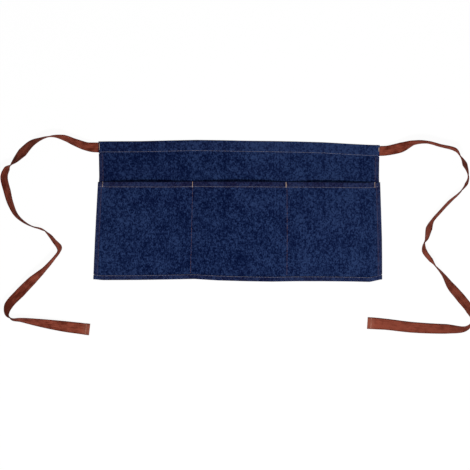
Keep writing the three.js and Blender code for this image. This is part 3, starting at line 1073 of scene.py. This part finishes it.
def lines_at(tree, coordinates, pitch, slope, wander):
    """Waving lines, pitch apart. slope is how far they climb for each step sideways."""
    place = node(tree, "ShaderNodeMapping")
    place.inputs["Scale"].default_value = (slope, 1, 0)
    made = node(tree, "ShaderNodeTexWave", wave_type="BANDS", bands_direction="DIAGONAL")
    step = pitch * math.hypot(slope, 1)
    made.inputs["Scale"].default_value = 2 * math.pi / (SLANTING_WAVES * step)
    made.inputs["Distortion"].default_value = wander
    made.inputs["Detail"].default_value = 2
    made.inputs["Detail Scale"].default_value = 2
    join(tree, coordinates, place.inputs["Vector"])
    join(tree, place.outputs["Vector"], made.inputs["Vector"])
    return made.outputs["Fac"]


def ribs_at(tree, coordinates, pitch, direction):
    """Straight ribs, pitch apart, one after another in a direction."""
    made = node(tree, "ShaderNodeTexWave", wave_type="BANDS", bands_direction=direction)
    made.inputs["Scale"].default_value = 2 * math.pi / (STRAIGHT_WAVES * pitch)
    join(tree, coordinates, made.inputs["Vector"])
    return made.outputs["Fac"]


def weighed(tree, source, weight, onto=None):
    """A value times a weight, added to what is there already."""
    made = node(tree, "ShaderNodeMath", operation="MULTIPLY_ADD")
    made.inputs[1].default_value = weight
    made.inputs[2].default_value = 0
    join(tree, source, made.inputs[0])
    if onto is not None:
        join(tree, onto, made.inputs[2])
    return made.outputs["Value"]


def ranged(tree, source, low, high):
    """0 where a value is low, 1 where it is high."""
    made = node(tree, "ShaderNodeMapRange")
    made.inputs["From Min"].default_value = low
    made.inputs["From Max"].default_value = high
    join(tree, source, made.inputs["Value"])
    return made.outputs["Result"]


def blended(tree, share, low, high):
    """A colour between two colours. Each may be a colour or an output of another node."""
    made = node(tree, "ShaderNodeMix", data_type="RGBA")
    join(tree, share, made.inputs["Factor"])
    for socket, colour in ((made.inputs[6], low), (made.inputs[7], high)):
        if isinstance(colour, tuple):
            socket.default_value = (*colour, 1)
        else:
            join(tree, colour, socket)
    return made.outputs[2]


def attribute(tree, name):
    return node(tree, "ShaderNodeAttribute", attribute_name=name).outputs["Fac"]


def finish(name, roughness, gloss):
    """A new material, with its node tree and its shader."""
    material = bpy.data.materials.new(name)
    material.use_nodes = True
    tree = material.node_tree
    shader = tree.nodes["Principled BSDF"]
    shader.inputs["Roughness"].default_value = roughness
    shader.inputs["Specular IOR Level"].default_value = gloss
    return material, tree, shader


def raise_bumps(tree, shader, height, strength, distance):
    bump = node(tree, "ShaderNodeBump")
    bump.inputs["Strength"].default_value = strength
    bump.inputs["Distance"].default_value = distance
    join(tree, height, bump.inputs["Height"])
    join(tree, bump.outputs["Normal"], shader.inputs["Normal"])


# %% The denim finish
DARK_BLUE = (0.0012, 0.0042, 0.029)
MIDDLE_BLUE = (0.0067, 0.0155, 0.062)
PALE_BLUE = (0.023, 0.045, 0.128)
INDIGO = (DARK_BLUE, MIDDLE_BLUE, PALE_BLUE)
WRONG_SIDE = ((0.05, 0.07, 0.13), (0.16, 0.2, 0.29), (0.4, 0.44, 0.5))
WORN_MAUVE = (0.03, 0.022, 0.05)
TWILL_PITCH = 0.0009
TWILL_SLOPE = 1.9
TWILL_WEIGHT = 0.15
DENIM_NOISE = {
    "streaks": {"per_metre": (900, 220), "detail": 2, "roughness": 0.6, "seed": 3.1},
    "mottles": {"per_metre": (330, 260), "detail": 3, "roughness": 0.6, "seed": 7.7},
    "patches": {"per_metre": (150, 120), "detail": 2, "roughness": 0.5, "seed": 5.1},
    "clouds": {"per_metre": (30, 24), "detail": 2, "roughness": 0.5, "seed": 1.3},
}
NOISE_WEIGHTS = {"streaks": 0.6, "mottles": 1.1, "patches": 0.7, "clouds": 0.4}


def denim(name, colours, worn_share):
    material, tree, shader = finish(name, roughness=0.9, gloss=0.02)
    dark, middle, pale = colours
    flat = node(tree, "ShaderNodeUVMap", uv_map="cut").outputs["UV"]
    twill = lines_at(tree, flat, TWILL_PITCH, TWILL_SLOPE, wander=0.6)
    noises = {kind: noise_at(tree, flat, **settings) for kind, settings in DENIM_NOISE.items()}
    grain = weighed(tree, twill, TWILL_WEIGHT)
    for kind, weight in NOISE_WEIGHTS.items():
        grain = weighed(tree, noises[kind], weight, grain)
    # the painted light and shade from the tables shifts the shade of the cloth
    shade = weighed(tree, attribute(tree, "painted_light"), 1, ranged(tree, grain, 1.25, 1.7))
    low = blended(tree, ranged(tree, shade, 0, 0.5), dark, middle)
    colour = blended(tree, ranged(tree, shade, 0.5, 1), low, pale)
    wear = node(tree, "ShaderNodeMath", operation="MULTIPLY")
    join(tree, weighed(tree, attribute(tree, "hem"), worn_share), wear.inputs[0])
    join(tree, ranged(tree, noises["mottles"], 0.3, 0.7), wear.inputs[1])
    colour = blended(tree, wear.outputs["Value"], colour, WORN_MAUVE)
    join(tree, colour, shader.inputs["Base Color"])
    threads = weighed(tree, noises["streaks"], 0.6, twill)
    raise_bumps(tree, shader, threads, strength=0.6, distance=0.00025)
    return material


denim_face = denim("indigo_denim", INDIGO, worn_share=0.55)
denim_wrong = denim("denim_wrong_side", WRONG_SIDE, worn_share=0.0)


# %% [markdown]
# ## Tape and thread
#
# The ties are woven tape: fine ribs along it, a firmer line near each edge, and a paler band
# where its end is turned and sewn.

# %% The tape finish
RUST = (0.28, 0.064, 0.038)
DARK_RUST = (0.085, 0.013, 0.006)
PALE_RUST = (0.33, 0.13, 0.09)
SEWN_RUST = (0.5, 0.27, 0.2)
RIB_PITCH = 0.0011
PICK_PITCH = 0.0007  # from one crosswise thread to the next
EDGE_STARTS, EDGE_ENDS = 0.0092, 0.0115  # the firmer line, from the middle of the tape


def tape():
    material, tree, shader = finish("rust_tape", roughness=0.85, gloss=0.06)
    flat = node(tree, "ShaderNodeUVMap", uv_map="cut").outputs["UV"]
    ribs = ribs_at(tree, flat, RIB_PITCH, "Y")
    picks = ribs_at(tree, flat, PICK_PITCH, "X")
    streaks = noise_at(tree, flat, (28, 620), detail=3, roughness=0.6, seed=2.2)
    patches = noise_at(tree, flat, (55, 70), detail=3, roughness=0.6, seed=8.4)
    split = node(tree, "ShaderNodeSeparateXYZ")
    join(tree, flat, split.inputs["Vector"])
    from_middle = node(tree, "ShaderNodeMath", operation="ABSOLUTE")
    join(tree, split.outputs["Y"], from_middle.inputs[0])
    edge = ranged(tree, from_middle.outputs["Value"], EDGE_STARTS, EDGE_ENDS)
    shade = weighed(tree, streaks, 0.8)
    shade = weighed(tree, patches, 0.9, shade)
    shade = weighed(tree, ribs, 0.12, shade)
    # the tie's painted light and shade shifts the shade of the tape
    shade = weighed(tree, attribute(tree, "painted_light"), 1, ranged(tree, shade, 0.66, 1.16))
    colour = blended(tree, shade, DARK_RUST, RUST)
    colour = blended(tree, weighed(tree, edge, 0.7), colour, DARK_RUST)
    colour = blended(tree, weighed(tree, attribute(tree, "hem"), 0.25), colour, PALE_RUST)
    join(tree, colour, shader.inputs["Base Color"])
    raise_bumps(tree, shader, weighed(tree, picks, 0.5, ribs), strength=0.5, distance=0.0002)
    return material


# %% [markdown]
# Sewing thread is smoother than the cloth, and shines a little. The long seams are tan, the seams
# between the pockets have faded to brown, the side seams are nearly as dark as the denim, and
# the tacks are the palest. One finish with two colours does for them all.

# %% The thread finish
TIE_ENDS = {"dark": PALE_RUST, "pale": SEWN_RUST}
SEAMS = {"dark": (0.16, 0.15, 0.19), "pale": (0.31, 0.3, 0.37)}
DIVIDERS = {"dark": (0.1, 0.05, 0.065), "pale": (0.21, 0.115, 0.11)}
SIDES = {"dark": (0.06, 0.035, 0.06), "pale": (0.12, 0.07, 0.09)}
TACKS = {"dark": (0.34, 0.23, 0.17), "pale": (0.52, 0.4, 0.31)}


def thread(name, dark, pale):
    """Sewing thread: its colour changes a little from stitch to stitch."""
    material, tree, shader = finish(name, roughness=0.6, gloss=0.3)
    place = node(tree, "ShaderNodeTexCoord").outputs["Object"]
    change = noise_at(tree, place, (260, 260), detail=1, roughness=0.5, seed=4.4)
    colour = blended(tree, ranged(tree, change, 0.35, 0.65), dark, pale)
    join(tree, colour, shader.inputs["Base Color"])
    return material


# %% [markdown]
# Each cloth gets two finishes: the right side and the wrong side of denim. The thickness that
# Solidify adds shows the wrong side on the rear face, because of its material offset.

# %% Give the pieces their finishes
for cloth in (back_cloth, pocket_cloth, waistband_cloth, bottom_hem_cloth):
    cloth.data.materials.append(denim_face)
    cloth.data.materials.append(denim_wrong)
rust_tape = tape()
for tie in (tie_left_tape, tie_right_tape):
    tie.data.materials.append(rust_tape)
for name, colours, rows_of_stitches in (
    ("tan_thread", SEAMS, [waist_stitches, mouth_stitches, bottom_stitches]),
    ("divider_thread", DIVIDERS, [divider_stitches]),
    ("dull_thread", SIDES, [side_stitches]),
    ("tack_thread", TACKS, [bar_tacks, root_tacks]),
    ("rust_thread", TIE_ENDS, [tie_end_stitches]),
):
    material = thread(name, **colours)
    for stitches in rows_of_stitches:
        stitches.data.materials.append(material)
print("finishes:", sorted(material.name for material in bpy.data.materials))

# %% [markdown]
# ## What each piece stands for
#
# The solids of the frame are hidden, and the laid cloth takes their place.

for piece, solid, slot, flat, held, rests_on, with_pieces in (
    (back_cloth, "back_panel", "denim", back_flat, "laid", [], [side_stitches]),
    (pocket_cloth, "pocket_panel", "denim", pocket_flat, "laid", ["back_cloth"],
     [mouth_stitches, divider_stitches, bar_tacks]),
    (waistband_cloth, "waistband", "folded_denim", waistband_flat, "folded", ["back_cloth"],
     [waist_stitches, root_tacks]),
    (bottom_hem_cloth, "bottom_hem", "folded_denim", bottom_hem_flat, "folded", ["back_cloth"],
     [bottom_stitches]),
    (tie_left_tape, "tie_left", "tie_tape", tie_left_flat, "laid", [], [tie_end_stitches]),
    (tie_right_tape, "tie_right", "tie_tape", tie_right_flat, "laid", [], []),
):
    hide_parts(solid)
    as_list(rests_on)
    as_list(with_pieces)

# %% [markdown]
# ## Floor, light and camera
#
# The apron lies on a white floor and is seen from straight above through a long lens, which
# keeps its outline nearly free of perspective. One lamp shapes the folds. The floor glows like a
# light table, so that the lamp hardly leaves a shadow on it.

# %% Floor
FLOOR_GREY = 0.05
FLOOR_GLOW = 0.96
FLOOR_REACH = 6
bm = bmesh.new()
bmesh.ops.create_grid(bm, x_segments=1, y_segments=1, size=FLOOR_REACH)
floor_mesh = bpy.data.meshes.new("floor")
bm.to_mesh(floor_mesh)
bm.free()
floor = bpy.data.objects.new("floor", floor_mesh)
bpy.context.scene.collection.objects.link(floor)
paper, _, shader = finish("white_paper", roughness=1, gloss=0)
shader.inputs["Base Color"].default_value = (FLOOR_GREY, FLOOR_GREY, FLOOR_GREY, 1)
shader.inputs["Emission Color"].default_value = (1, 1, 1, 1)
shader.inputs["Emission Strength"].default_value = FLOOR_GLOW
floor_mesh.materials.append(paper)
print("the floor reaches", FLOOR_REACH, "m to each side")

# %% Light
SKY_STRENGTH = 0.3
KEY_WATTS = 27
KEY_SIZE = 0.3
KEY_PLACE = Vector((0.2, -0.8, 1.75))
world = bpy.data.worlds.new("studio")
world.use_nodes = True
world.node_tree.nodes["Background"].inputs["Color"].default_value = (1, 1, 1, 1)
world.node_tree.nodes["Background"].inputs["Strength"].default_value = SKY_STRENGTH
bpy.context.scene.world = world
key = bpy.data.lights.new("key", "AREA")
key.energy = KEY_WATTS
key.size = KEY_SIZE
key_light = bpy.data.objects.new("key", key)
key_light.location = KEY_PLACE
key_light.rotation_euler = (-KEY_PLACE).to_track_quat("-Z", "Y").to_euler()
bpy.context.scene.collection.objects.link(key_light)
print("the lamp is", round(KEY_PLACE.length, 2), "m from the apron")

# %% Camera
VIEW_WIDTH = 0.9926  # how much of the floor the picture spans
VIEW_MIDDLE = Vector((-0.0057, -0.051, 0))
LENS_LENGTH = 400  # millimetres, as Blender counts them
lens = bpy.data.cameras.new("camera")
lens.lens = LENS_LENGTH
camera = bpy.data.objects.new("camera", lens)
camera.location = VIEW_MIDDLE + Vector((0, 0, VIEW_WIDTH * lens.lens / lens.sensor_width))
bpy.context.scene.collection.objects.link(camera)
bpy.context.scene.camera = camera
bpy.context.scene.view_settings.view_transform = "Standard"
print("camera height:", round(camera.location.z, 3))

# %% Update the scene
bpy.context.view_layer.update()
